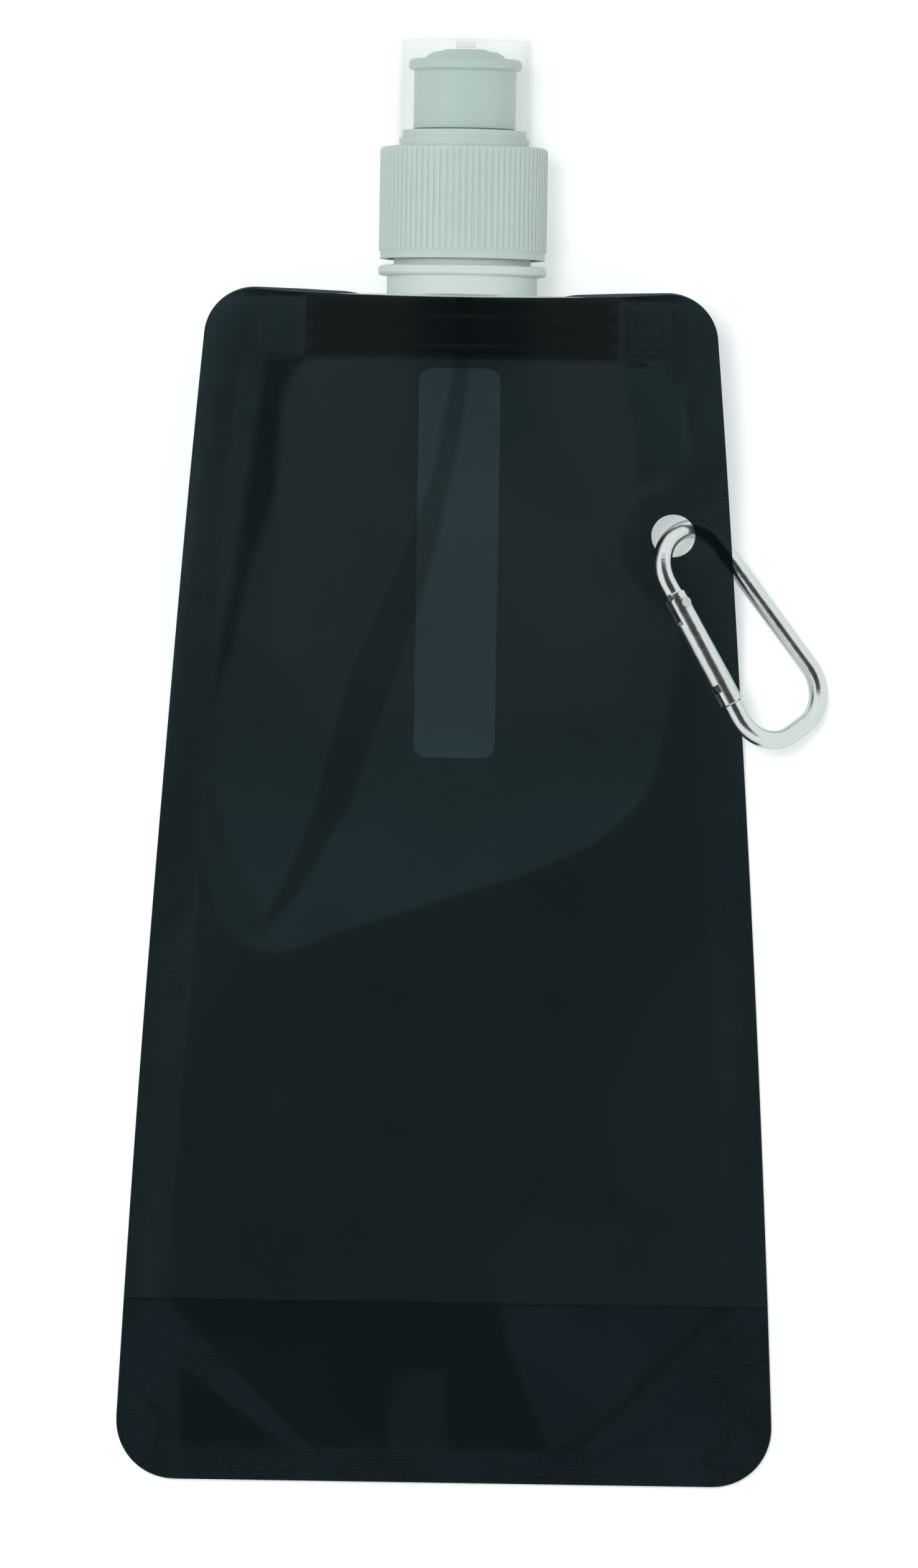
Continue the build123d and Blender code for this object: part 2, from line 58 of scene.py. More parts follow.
# ---------------------------------------------------------------------------
# Camera
# It looks straight down on the bottle, which lies on its back, through a long
# lens, and it is turned a little, so that the spout leans to the right.
# ---------------------------------------------------------------------------
FRAME_HEIGHT = 0.28664
AIM = (0.00091, 0.0680, 0.006)
TURN = math.radians(0.92)
LENS = 400
SENSOR = 36

camera_data = bpy.data.cameras.new("camera")
camera_data.lens = LENS
camera_data.sensor_width = SENSOR
camera = bpy.data.objects.new("camera", camera_data)
camera.location = (AIM[0], AIM[1], AIM[2] + FRAME_HEIGHT * LENS / SENSOR)
camera.rotation_euler = (0, 0, TURN)
bpy.context.scene.collection.objects.link(camera)
bpy.context.scene.camera = camera

# ---------------------------------------------------------------------------
# Table, light and dark card
# A matt white table, a big soft lamp at the upper left, a weak one opposite,
# and a dark card overhead, which only glossy surfaces see, so that the film
# stays dark and the metal gets its dark streaks.
# ---------------------------------------------------------------------------


def node(tree, kind, links=None, values=None, **settings):
    """One shader node with its settings, its plain values and what feeds it."""
    made = tree.nodes.new(kind)
    for name, value in settings.items():
        setattr(made, name, value)
    for socket, value in (values or {}).items():
        made.inputs[socket].default_value = value
    for socket, source in (links or {}).items():
        tree.links.new(source, made.inputs[socket])
    return made


def math_node(tree, operation, *terms, clamp=False):
    """A math node on sockets or plain numbers, as its output socket."""
    made = tree.nodes.new("ShaderNodeMath")
    made.operation = operation
    made.use_clamp = clamp
    for socket, term in zip(made.inputs, terms):
        if isinstance(term, (int, float)):
            socket.default_value = term
        else:
            tree.links.new(term, socket)
    return made.outputs[0]


def times(tree, a, b):
    """Two values multiplied."""
    return math_node(tree, "MULTIPLY", a, b)


def plus(tree, a, b):
    """Two values added."""
    return math_node(tree, "ADD", a, b)


def new_material(name):
    """An empty node material, with its node tree and its output node."""
    material = bpy.data.materials.new(name)
    material.use_nodes = True
    tree = material.node_tree
    tree.nodes.clear()
    return material, tree, tree.nodes.new("ShaderNodeOutputMaterial")


def seen_directly(tree):
    """1 for rays from the camera, a mirror or glass, and 0 for rays that only light things."""
    path = tree.nodes.new("ShaderNodeLightPath")
    either = math_node(tree, "MAXIMUM", path.outputs["Is Camera Ray"], path.outputs["Is Glossy Ray"])
    return math_node(tree, "MAXIMUM", either, path.outputs["Is Transmission Ray"])


# How much of its own white the table and the room show when they are looked at, and how
# strong the room's light is on everything.
TABLE_GLOW, ROOM_GLOW, ROOM_LIGHT = 0.46, 0.58, 0.42

table_material, tree, output = new_material("white_table")
paper_grain = node(tree, "ShaderNodeTexNoise", values={"Scale": 900.0, "Detail": 2.0})
paper_bump = node(
    tree, "ShaderNodeBump", links={"Height": paper_grain.outputs[0]}, values={"Strength": 0.05}
)
table_shade = node(
    tree,
    "ShaderNodeBsdfPrincipled",
    links={
        "Normal": paper_bump.outputs[0],
        "Emission Strength": times(tree, seen_directly(tree), TABLE_GLOW),
    },
    values={
        "Base Color": (0.775, 0.815, 0.81, 1),
        "Roughness": 0.9,
        "Specular IOR Level": 0.1,
        "Emission Color": (0.95, 1.0, 0.99, 1),
    },
)
tree.links.new(table_shade.outputs[0], output.inputs["Surface"])

bpy.ops.mesh.primitive_plane_add(size=8, location=(0, 0.06, -0.0002))
table = bpy.context.object
table.name = "table"
table.data.materials.append(table_material)

world = bpy.data.worlds.new("studio")
world.use_nodes = True
tree = world.node_tree
tree.nodes.clear()
world_strength = plus(tree, times(tree, seen_directly(tree), ROOM_GLOW), ROOM_LIGHT)
studio_light = node(
    tree, "ShaderNodeBackground", links={"Strength": world_strength}, values={"Color": (1, 1, 1, 1)}
)
world_output = tree.nodes.new("ShaderNodeOutputWorld")
tree.links.new(studio_light.outputs[0], world_output.inputs["Surface"])
bpy.context.scene.world = world

for lamp_name, place, size, power in (
    ("key_lamp", (-0.20, 0.27, 1.22), 0.34, 6.7),
    ("fill_lamp", (0.7, -0.6, 1.0), 0.9, 1.0),
):
    lamp_data = bpy.data.lights.new(lamp_name, "AREA")
    lamp_data.size = size
    lamp_data.energy = power
    lamp = bpy.data.objects.new(lamp_name, lamp_data)
    lamp.location = place
    aim = (camera.location.xy.to_3d() - lamp.location).to_track_quat("-Z", "Y")
    lamp.rotation_euler = aim.to_euler()
    lamp.visible_glossy = False
    lamp.visible_camera = False
    bpy.context.scene.collection.objects.link(lamp)

card_material, tree, output = new_material("dark_card")
card_shade = node(
    tree, "ShaderNodeEmission", values={"Color": (0.9, 1.0, 1.0, 1), "Strength": 0.03}
)
tree.links.new(card_shade.outputs[0], output.inputs["Surface"])
bpy.ops.mesh.primitive_plane_add(size=1.3, location=(0.22, 0.08, 1.1))
card = bpy.context.object
card.name = "dark_card"
card.data.materials.append(card_material)
for ray in ("camera", "diffuse", "transmission", "volume_scatter", "shadow"):
    setattr(card, f"visible_{ray}", False)

bpy.context.scene.view_settings.view_transform = "Standard"

# ---------------------------------------------------------------------------
# Front and back sheets
# Two sheets of smoked laminate film, welded down both sides, along the bottom
# and over the spout's boat. Each is one sheet across the fold. Lengths in this
# section are in millimetres, and heights run from the bottom edge.
# ---------------------------------------------------------------------------
MM = 0.001


def in_mm(place):
    """A place in the frame, in millimetres."""
    return [round(float(part) / MM, 2) for part in place]


# Places that the frame gives: the gusset, the spout's boat and axis, the carabiner's hole, which
# is a little shorter from above because the film slopes there, and the fold.
joints = {joint["name"]: joint for joint in frame["joints"]}
gusset_low, gusset_high = (in_mm(corner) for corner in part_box("bottom_gusset"))
spout_low, spout_high = (in_mm(corner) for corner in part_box("spout"))
hole_place = in_mm(joints["carabiner_swing"]["pos_m"])
BASE_Y = gusset_low[1]
GUSSET_TOP = round(gusset_high[1] - BASE_Y, 2)
BOAT_BOTTOM = round(spout_low[1] - BASE_Y, 2)
BOAT_HALF_WIDTH = spout_high[0]
SPOUT_AXIS_Z = in_mm(joints["cap_turn"]["pos_m"])[2]
HOLE_X, HOLE_HEIGHT = hole_place[0], round(hole_place[1] - BASE_Y, 2)
HOLE_IN_PLAN = round(joints["carabiner_swing"]["axis"][2], 3)

# The outline: its half widths at the bottom, middle and top, and its corners.
POUCH_LENGTH = 218.4
EDGE_HALF_WIDTHS = (60.5, 54.6, 46.1)
TOP_CORNER, BOTTOM_CORNER = 8.7, 11.3
# How far the top edges dip between their corners, the back one further behind the collar.
FRONT_DIP, BACK_DIP = 2.0, 0.9
COLLAR_DIP, COLLAR_HALF_WIDTH = 1.0, 13.7
# The film, the gap between the sheets, and the heights between which they rise to the spout.
FILM, SHEET_GAP = 0.25, 0.55
FLAT_MIDDLE = 0.525
RISE = (118.0, 206.0)
SWELL_LENGTH = 75.0
BOAT_TOP, BOAT_HALF_DEPTH = 216.9, 12.45
BOAT_RIB, BOAT_RIB_STEP = 1.5, 3.2333
# How wide the welds are, the hole's radius, and the round tacks in the bottom corners.
SIDE_WELD, BOTTOM_WELD, HOLE_WELD = 7.6, 6.2, 10.0
HOLE_RADIUS = 4.035
TACK_X, TACK_HEIGHT, TACK_RADIUS = 60.0, 8.9, 7.9


def eased(value):
    """A smooth step from 0 to 1 over values from 0 to 1."""
    value = np.clip(value, 0, 1)
    return value * value * (3 - 2 * value)


def half_width(height):
    """Half the pouch's width: bowed sides and four rounded corners."""
    share = height / POUCH_LENGTH
    base, middle, top = EDGE_HALF_WIDTHS
    bowed = (
        base * (1 - share) * (1 - 2 * share)
        + 4 * middle * share * (1 - share)
        + top * share * (2 * share - 1)
    )
    into_top = np.clip(height - (POUCH_LENGTH - TOP_CORNER), 0, TOP_CORNER)
    into_base = np.clip(BOTTOM_CORNER - height, 0, BOTTOM_CORNER)
    bowed = bowed - TOP_CORNER + np.sqrt(TOP_CORNER**2 - into_top**2)
    return bowed - BOTTOM_CORNER + np.sqrt(BOTTOM_CORNER**2 - into_base**2)


def middle_z(height):
    """Z of the surface midway between the sheets: flat, then an S up to the spout."""
    share = np.clip((height - RISE[0]) / (RISE[1] - RISE[0]), 0, 1)
    return FLAT_MIDDLE + (SPOUT_AXIS_Z - FLAT_MIDDLE) * (1 - np.cos(np.pi * share)) / 2


def swell(x, height):
    """How far a sheet stands off the flat pack, over the boat and below it."""
    share = np.clip((BOAT_BOTTOM - height) / SWELL_LENGTH, 0, 1)
    depth = (BOAT_HALF_DEPTH - SHEET_GAP / 2) * (1 + np.cos(np.pi * share)) / 2
    lens = 1 - np.abs(x / (BOAT_HALF_WIDTH + 8 * share)) ** 2.25
    rounding = 0.0144 + 0.6 * share * (1 - eased((np.abs(x) - 25) / 9))
    return depth * (lens + np.sqrt(lens**2 + rounding)) / 2


def edge_dip(side, x):
    """How far a sheet's top edge dips below its corners."""
    bow = 1 - (x / EDGE_HALF_WIDTHS[2]) ** 2
    if side > 0:
        return FRONT_DIP * bow
    return BACK_DIP * bow + COLLAR_DIP * (1 - eased((np.abs(x) - COLLAR_HALF_WIDTH) / 8))


def patch(x, height, corners, soft):
    """1 inside a many-sided patch and 0 outside it, with an edge that many mm soft."""
    nearest = np.full(x.shape, 1e9)
    inside = np.zeros(x.shape, bool)
    for (x0, h0), (x1, h1) in zip(corners, corners[1:] + corners[:1]):
        run, rise = x1 - x0, h1 - h0
        along = np.clip(((x - x0) * run + (height - h0) * rise) / (run**2 + rise**2), 0, 1)
        away = np.hypot(x - x0 - along * run, height - h0 - along * rise)
        nearest = np.minimum(nearest, away)
        crosses = (h0 > height) != (h1 > height)
        inside ^= crosses & (x < x0 + (height - h0) * run / (rise + 1e-12))
    return eased(0.5 + np.where(inside, nearest, -nearest) / soft)


def soft_least(a, b, reach):
    """The smaller of two distances, rounded where they meet."""
    share = np.clip(0.5 + (b - a) / (2 * reach), 0, 1)
    return b + (a - b) * share - reach * share * (1 - share)


def free_inside(x, height):
    """Distance in from the welds: positive where the two sheets are free of each other."""
    sides = half_width(np.clip(height, 20, 200)) - SIDE_WELD - np.abs(x)
    free = soft_least(sides, BOAT_BOTTOM - 0.6 - height, 5.0)
    weld_start, weld_slope = 18.6, 1.02
    slanting_weld = (height - (np.abs(x) - weld_start) * weld_slope) / 1.43
    bottom = soft_least(height - BOTTOM_WELD, slanting_weld, 3.0)
    around_hole = np.hypot(x - HOLE_X, height - HOLE_HEIGHT) - HOLE_WELD
    return soft_least(soft_least(free, bottom, 1.0), around_hole, 4.0)


def corner_cell(x, height):
    """Distance into the small unwelded cell in each bottom corner."""
    outer_side, bottom, rounding = 49.0, 5.6, 2.5
    side = np.abs(x)
    slope = (11.2 + 0.75 * (side - 35.4) - height) / 1.25
    return soft_least(soft_least(outer_side - side, height - bottom, rounding), slope, rounding)


# Where the two sheets touch or part, light goes through them differently: a large pale area
# in the upper half, a dark strip at the left, and a dark band that runs down from the spout.
# These are partly that real difference and partly painted light and shade of the film's soft bulges and
# folds.
PALE_AREA = [
    (-37, 204.6), (37, 204.6), (41.2, 199), (41.9, 188), (38.5, 183.5), (31, 179), (29.5, 173),
    (31, 167), (36, 162), (41, 158), (40, 150), (38.5, 139), (36.7, 129.7), (33.4, 123.9),
    (25.2, 117.0), (12.8, 111.4), (-7.9, 104.8), (-20.4, 100.5), (-28.7, 97.2), (-33, 96.6),
    (-39.1, 97.7), (-42.9, 102.6), (-45.6, 111.7), (-45.5, 128.4), (-44, 146.6), (-42.8, 164),
    (-41, 185), (-39.3, 200),
]
LEFT_STRIP = [
    (-35.3, 205.5), (-28.4, 205.5), (-32.2, 198.6), (-33.2, 181.2), (-37, 169.5), (-41, 152),
    (-44.6, 140), (-43.6, 152), (-41, 165), (-39.2, 177), (-37.8, 187.5),
]
DARK_BAND = [
    (1.9, 216.5), (1.75, 203.6), (-0.3, 188.7), (-4.1, 170.9), (-6.5, 162.0), (-11.1, 147.2),
    (-19.6, 123.1), (-28.0, 108.0), (-34.5, 100.0), (-33.7, 104.5), (-29.5, 112.5), (-25.5, 123.0),
    (-19.4, 148.1), (-10.5, 168.0), (-4.9, 183.8), (-1.2, 203.5), (-0.8, 216.5),
]
TEARDROP = [
    (-45.6, 128.4), (-45.6, 111.7), (-42.9, 102.6), (-39.1, 97.7), (-33.5, 99.0), (-34.5, 104.0),
    (-38.0, 110.0), (-41.5, 119.0), (-44.0, 128.0), (-44.4, 140.0), (-45.2, 140.0),
]
LOWER_LEFT = [(-39, 95.5), (-48.5, 79.1), (-50, 60), (-53, 33), (-56, 33), (-54, 95), (-46, 108)]
LOWER_RIGHT = [
    (47.2, 100.6), (37.4, 86.4), (29.2, 72.0), (33.0, 52.0), (50.0, 44.0), (54, 70), (52, 96),
]
BASE_RIGHT = [
    (8.9, 41.7), (11.7, 25), (19.5, 6.3), (27, 9.0), (50, 32.5), (52, 44), (30, 50), (14, 48),
]
TONGUE = [(-9.0, 19.8), (0.0, 20.3), (0.8, 6.3), (-9.9, 6.3)]
FILM_ON_BOAT = [(-28.4, 205.4), (28.8, 205.4), (28.8, 217.2), (-28.4, 217.2)]
BOAT_WELD = [(-28.4, 204.6), (28.8, 204.6), (28.8, 219), (-28.4, 219)]
BAND_ON_BOAT = [(-1.0, 203), (1.9, 203), (1.9, 219), (-0.9, 219)]

# Each with how soft its edge is, in mm, and how much more light it lets past than the film round it.
LIGHT_AREAS = (
    (LEFT_STRIP, 2.4, -0.60), (DARK_BAND, 1.1, -0.36), (TEARDROP, 1.6, -0.22),
    (LOWER_LEFT, 3.0, 0.22), (LOWER_RIGHT, 3.0, 0.20),
)
# Each with how soft its edge is and how far the front sheet stands up there, in mm.
RAISED_AREAS = (
    (PALE_AREA, 6.0, 0.30), (DARK_BAND, 3.0, 0.16), (LEFT_STRIP, 4.0, -0.14),
    (LOWER_LEFT, 5.0, 0.22), (LOWER_RIGHT, 5.0, 0.22), (BASE_RIGHT, 3.0, 0.20), (TONGUE, 3.0, 0.15),
)
# The pads that weld the film beside the boat: their middles and how far they reach from there.
WING_PADS = [(-32.8, 211.4, 4.55, 5.45), (34.65, 211.6, 4.1, 5.2)]
# The puckers at the boat's corners: their middles, and their reach across and up.
PUCKERS = [
    (-30.0, 204.8, 2.6, 0.9), (32.0, 205.0, 2.6, 1.0), (-29.9, 217.0, 2.2, 0.8), (31.6, 216.9, 2.0, 1.0),
]


def crumpled(x, height):
    """1 in the four small puckers beside the ends of the boat."""
    near = [np.hypot((x - px) / across, (height - ph) / up) for px, ph, across, up in PUCKERS]
    return eased(1.6 * (1 - np.minimum.reduce(near)))


def see_through(x, height):
    """How much light the front sheet lets past, beside the clearest plain film at 1, with some painted
    light and shade in it.
    """
    # Painted light: towards the bottom the pale area is made paler still, to make up for the shade on
    # the table under the pouch.
    painted_light_low = 0.28 * eased((145 - height) / 30)
    clear = 0.70 + (0.30 + painted_light_low) * patch(x, height, PALE_AREA, 1.6)
    # The pale and dark areas, partly painted light and shade of the film's bulges and folds.
    for outline, soft, more in LIGHT_AREAS:
        clear *= 1 + more * patch(x, height, outline, soft)
    # Over the gusset the fused film is paler, and a painted shadow line runs along the weld's edge.
    low = eased((GUSSET_TOP + 0.4 - height) / 0.8)
    fused = welded(x, height)
    clear *= 1 + (0.22 + 0.75 * low) * (1 - fused) * patch(x, height, BASE_RIGHT, 2.0)
    clear *= 1 + 0.9 * patch(x, height, TONGUE, 2.5)
    clear *= 1 + (0.20 + 0.85 * low) * fused
    cell = low * eased(0.5 + corner_cell(x, height) / 0.9)
    clear *= 1 + np.where(x < 0, -0.05, 0.9) * cell
    # Painted shadow: a dark line along the weld's inner edge.
    weld_edge_shadow = np.exp(-(((free_inside(x, height) - 0.4) / np.where(x < 0, 0.5, 0.8)) ** 2))
    clear *= 1 - 0.35 * weld_edge_shadow * low * eased((np.abs(x) - 17) / 6)
    # Painted shade: over the white boat the film lets less light past, since little light comes back
    # from the boat, and least where the dark band crosses it.
    boat = patch(x, height, FILM_ON_BOAT, 1.2)
    return clear * (1 - 0.5 * boat) * (1 - 0.5 * boat * patch(x, height, BAND_ON_BOAT, 0.8))


def behind_edge(x, height):
    """1 on the strip of back sheet that shows above the front sheet's dipped edge."""
    return eased((height - 216.0) / 0.8) * eased((44 - np.abs(x)) / 6)


def welded(x, height):
    """1 where the two sheets are fused, and 0 where they are free."""
    fused = eased(0.5 - free_inside(x, height) / 1.3)
    fused *= 1 - eased(0.5 + corner_cell(x, height) / 1.0)
    return fused * (1 - patch(x, height, BOAT_WELD, 0.8))


def ribbed(height):
    """1 over the boat's weld ribs and 0 in the middle of the grooves between them."""
    from_rib = np.abs(np.mod(height - BOAT_BOTTOM - BOAT_RIB / 2, BOAT_RIB_STEP) - BOAT_RIB_STEP / 2)
    return eased((from_rib - 0.05) / 0.5)


def sheet_form(side, x, height):
    """Z of a sheet's inner face: its plain form, pressed welds, weld ribs, pads and puckers."""
    z = middle_z(height) + side * (SHEET_GAP / 2 + swell(x, height))
    boat_edge = eased((BOAT_HALF_WIDTH - 1 - np.abs(x)) / 4)
    on_boat = eased((height - BOAT_BOTTOM + 0.4) / 0.8) * boat_edge
    grooves = on_boat * (1 - ribbed(height)) * eased((BOAT_TOP + 0.3 - height) / 0.6)
    z += side * (0.05 * on_boat - 0.20 * grooves)
    if side < 0:
        return z
    # The welds are pressed in above the gusset, and the free film over it stands up a little.
    low = eased((GUSSET_TOP + 1 - height) / 2)
    z -= 0.32 * welded(x, height) * eased((height - GUSSET_TOP) / 6)
    z += 0.28 * low * eased(0.2 + free_inside(x, height) / 2.5)
    z += 0.35 * eased(0.3 + corner_cell(x, height) / 2.2)
    # Where the sheets part, the pads and puckers beside the boat, and the tacks in the corners.
    for outline, soft, rise in RAISED_AREAS:
        z += rise * patch(x, height, outline, soft)
    for pad_x, pad_h, reach_x, reach_h in WING_PADS:
        beyond = np.maximum(np.abs(x - pad_x) - reach_x, np.abs(height - pad_h) - reach_h)
        z += 0.14 * eased(0.5 - beyond / 0.9)
    z += 0.35 * crumpled(x, height)
    from_tack = np.abs(np.hypot(np.abs(x) - TACK_X, height - TACK_HEIGHT) - TACK_RADIUS)
    z += 0.14 * eased(1 - from_tack / 0.9) * eased((56 - np.abs(x)) / 2 + 1)
    # A faint waviness in the free film.
    ripple = np.sin(0.21 * x + 0.33 * height) * np.sin(0.13 * x - 0.09 * height + 1.0)
    return z + 0.10 * (1 + ripple) * eased(free_inside(x, height) / 6)


def sheet_rows(fine):
    """Heights of a sheet's rows: close together in the corners and over the boat."""
    below_boat = 203.8
    lower_turn = np.linspace(0, np.pi / 2, round(15 * fine) + 1)
    lower = BOTTOM_CORNER * (1 - np.cos(lower_turn))
    plain = np.linspace(BOTTOM_CORNER, below_boat, round(228 * fine) + 1)
    boat = np.linspace(below_boat, POUCH_LENGTH - TOP_CORNER, round(14 * fine) + 1)
    upper_turn = np.linspace(0, np.pi / 2, round(22 * fine) + 1)
    upper = POUCH_LENGTH - TOP_CORNER * (1 - np.sin(upper_turn))
    return np.concatenate([lower[:-1], plain[:-1], boat[:-1], upper])


def flat_grid(name, columns, rows):
    """A new flat grid and its points, which run from -0.5 to 0.5 both ways."""
    bpy.ops.object.select_all(action="DESELECT")
    bpy.ops.mesh.primitive_grid_add(x_subdivisions=columns, y_subdivisions=rows, size=1)
    piece = bpy.context.object
    piece.name = piece.data.name = name
    return piece, points_of(piece)


def points_of(piece):
    """The places of a piece's points, one row each."""
    places = np.empty(len(piece.data.vertices) * 3)
    piece.data.vertices.foreach_get("co", places)
    return places.reshape(-1, 3)


def set_points(piece, x, y, z):
    """Moves a piece's points to places given in millimetres."""
    piece.data.vertices.foreach_set("co", (np.column_stack([x, y, z]) * MM).ravel())


def delete_points(piece, chosen):
    """Takes the chosen points out of a piece, with the faces on them."""
    bpy.ops.object.mode_set(mode="EDIT")
    bpy.ops.mesh.select_mode(type="VERT")
    bpy.ops.mesh.select_all(action="DESELECT")
    bpy.ops.object.mode_set(mode="OBJECT")
    piece.data.vertices.foreach_set("select", chosen)
    bpy.ops.object.mode_set(mode="EDIT")
    bpy.ops.mesh.delete(type="VERT")
    bpy.ops.object.mode_set(mode="OBJECT")


def round_the_hole(sheet, near_hole):
    """Moves the border's points near the hole out to its true round edge."""
    faces_on_edge = np.zeros(len(sheet.data.edges), int)
    loop_edges = np.empty(len(sheet.data.loops), int)
    sheet.data.loops.foreach_get("edge_index", loop_edges)
    np.add.at(faces_on_edge, loop_edges, 1)
    for edge in sheet.data.edges:
        if faces_on_edge[edge.index] == 1 and all(near_hole[index] for index in edge.vertices):
            for index in edge.vertices:
                point = sheet.data.vertices[index].co
                up = (point.y / MM - BASE_Y - HOLE_HEIGHT) / HOLE_IN_PLAN
                turn = math.atan2(up, point.x / MM - HOLE_X)
                point.x = (HOLE_X + HOLE_RADIUS * math.cos(turn)) * MM
                point.y = (BASE_Y + HOLE_HEIGHT + HOLE_IN_PLAN * HOLE_RADIUS * math.sin(turn)) * MM


def give_thickness(piece, thickness, offset):
    """Makes a film as thick as it really is, and smooths its shading."""
    piece.data.update()
    thicken = piece.modifiers.new("film", "SOLIDIFY")
    thicken.thickness = thickness * MM
    thicken.offset = offset
    bpy.ops.object.modifier_apply(modifier="film")
    bpy.ops.object.shade_smooth_by_angle(angle=math.radians(40))


def make_sheet(name, side, columns, fine):
    """One whole film sheet, from a flat grid: shaped, cut out round the hole, and thickened."""
    heights = sheet_rows(fine)
    rows = len(heights) - 1
    sheet, flat = flat_grid(name, columns, rows)
    height = heights[np.rint((flat[:, 1] + 0.5) * rows).astype(int)]
    x = 2 * flat[:, 0] * half_width(height)
    above_boat = np.clip(height - BOAT_BOTTOM, 0, None) / (POUCH_LENGTH - BOAT_BOTTOM)
    dipped = height - edge_dip(side, x) * above_boat
    set_points(sheet, x, BASE_Y + dipped, sheet_form(side, x, height))

    from_hole = np.hypot(x - HOLE_X, (dipped - HOLE_HEIGHT) / HOLE_IN_PLAN)
    in_hole = from_hole < HOLE_RADIUS - 0.3
    delete_points(sheet, in_hole)
    round_the_hole(sheet, from_hole[~in_hole] < HOLE_RADIUS + 3)
    give_thickness(sheet, FILM, side)
    mark_film(sheet, side)
    return sheet


def mark_film(piece, side):
    """Gives a film piece its plan as a UV map, in units of 100 mm, and its weld and light marks."""
    points = points_of(piece) / MM
    x, height = points[:, 0], points[:, 1] - BASE_Y
    marks = {
        "weld": welded(x, height),
        "clear": see_through(x, height) if side > 0 else 1 - 0.6 * behind_edge(x, height),
        "crumple": crumpled(x, height) if side > 0 else np.zeros(len(x)),
    }
    for mark, values in marks.items():
        attribute = piece.data.attributes.new(mark, "FLOAT", "POINT")
        attribute.data.foreach_set("value", values.astype(np.float32))
    while piece.data.uv_layers:
        piece.data.uv_layers.remove(piece.data.uv_layers[0])
    plan = piece.data.uv_layers.new(name="plan")
    corners = np.empty(len(piece.data.loops), int)
    piece.data.loops.foreach_get("vertex_index", corners)
    plan.data.foreach_set("uv", (np.column_stack([x, height])[corners] / 100).ravel())


def minus(tree, a, b):
    """The first value less the second."""
    return math_node(tree, "SUBTRACT", a, b)


def absolute(tree, value):
    """A value without its sign."""
    return math_node(tree, "ABSOLUTE", value)


def box_outline(tree, x, height, centre, reach, corner):
    """Distance from a rounded box's outline: negative inside it and positive outside it."""
    out = []
    for place, middle, half in ((x, centre[0], reach[0]), (height, centre[1], reach[1])):
        out.append(minus(tree, absolute(tree, minus(tree, place, middle)), half - corner))
    beyond = [math_node(tree, "MAXIMUM", term, 0.0) for term in out]
    outside = distance(tree, *beyond)
    inside = math_node(tree, "MINIMUM", math_node(tree, "MAXIMUM", *out), 0.0)
    return minus(tree, plus(tree, outside, inside), corner)


def distance(tree, across, up):
    """How far away a place is, from how far it is across and up."""
    squares = [math_node(tree, "POWER", term, 2.0) for term in (across, up)]
    return math_node(tree, "SQRT", plus(tree, *squares))


def ramp(tree, value, start, end):
    """A straight ramp from 0, where the value is start, to 1, where it is end."""
    made = node(tree, "ShaderNodeMapRange", values={"From Min": start, "From Max": end})
    tree.links.new(value, made.inputs["Value"])
    return made.outputs[0]


def line_at(tree, value, place, wide):
    """1 on a fine line, where a value is at its place, and 0 away from it."""
    away = absolute(tree, minus(tree, value, place))
    return ramp(tree, away, wide, 0.3 * wide)


def noise(tree, vector, scale, detail, stretch=None, distortion=0.0):
    """A noise pattern on a vector, drawn out along one axis if it is stretched."""
    if stretch:
        mapping = node(tree, "ShaderNodeMapping", links={"Vector": vector}, values={"Scale": stretch})
        vector = mapping.outputs[0]
    made = node(
        tree,
        "ShaderNodeTexNoise",
        links={"Vector": vector},
        values={"Scale": scale, "Detail": detail, "Distortion": distortion},
    )
    return made.outputs[0]


def bumped(tree, relief, strength, depth):
    """A surface direction tilted by a relief, for a shader's Normal."""
    made = node(
        tree,
        "ShaderNodeBump",
        links={"Height": relief},
        values={"Strength": strength, "Distance": depth},
    )
    return made.outputs[0]


def dimmed(tree, value, mark, share):
    """A value, less a share of it where there is a mark."""
    return times(tree, value, minus(tree, 1.0, times(tree, mark, share)))


def knurl_marks(tree, plan, x, height, weld):
    """The weld bars' knurl: a grid of small dots, worn away here and there."""
    pitch = 0.64
    across = math_node(tree, "SINE", times(tree, x, 2 * math.pi / pitch))
    up = math_node(tree, "SINE", times(tree, height, 2 * math.pi / pitch))
    dots = times(tree, plus(tree, up, 0.9), plus(tree, across, 0.9))
    kept = ramp(tree, noise(tree, plan, 7.0, 2.0), 0.42, 0.62)
    return times(tree, times(tree, dots, kept), weld)


def melt_lines(tree, plan, x, height):
    """Melt lines over the spout's weld, in rows where the film was pressed between its ribs."""
    row, boat_middle = 3.2, 210.5
    over_boat = times(
        tree,
        ramp(tree, absolute(tree, x), 28.6, 28.1),
        ramp(tree, absolute(tree, minus(tree, height, boat_middle)), 4.9, 4.5),
    )
    wander = noise(tree, plan, 1.0, 3.0, stretch=(9.0, 55.0, 1.0), distortion=0.6)
    wander = times(tree, minus(tree, wander, 0.5), 2.2)
    into_row = math_node(tree, "WRAP", minus(tree, height, BOAT_BOTTOM), row, 0.0)
    from_middle = absolute(tree, minus(tree, into_row, row / 2))
    row_edges = line_at(tree, plus(tree, from_middle, times(tree, wander, 0.3)), 0.78, 0.20)
    squiggles = line_at(tree, plus(tree, from_middle, wander), 0.30, 0.17)
    squiggles = times(tree, squiggles, ramp(tree, from_middle, 0.9, 0.7))
    return times(tree, math_node(tree, "MAXIMUM", row_edges, squiggles), over_boat)


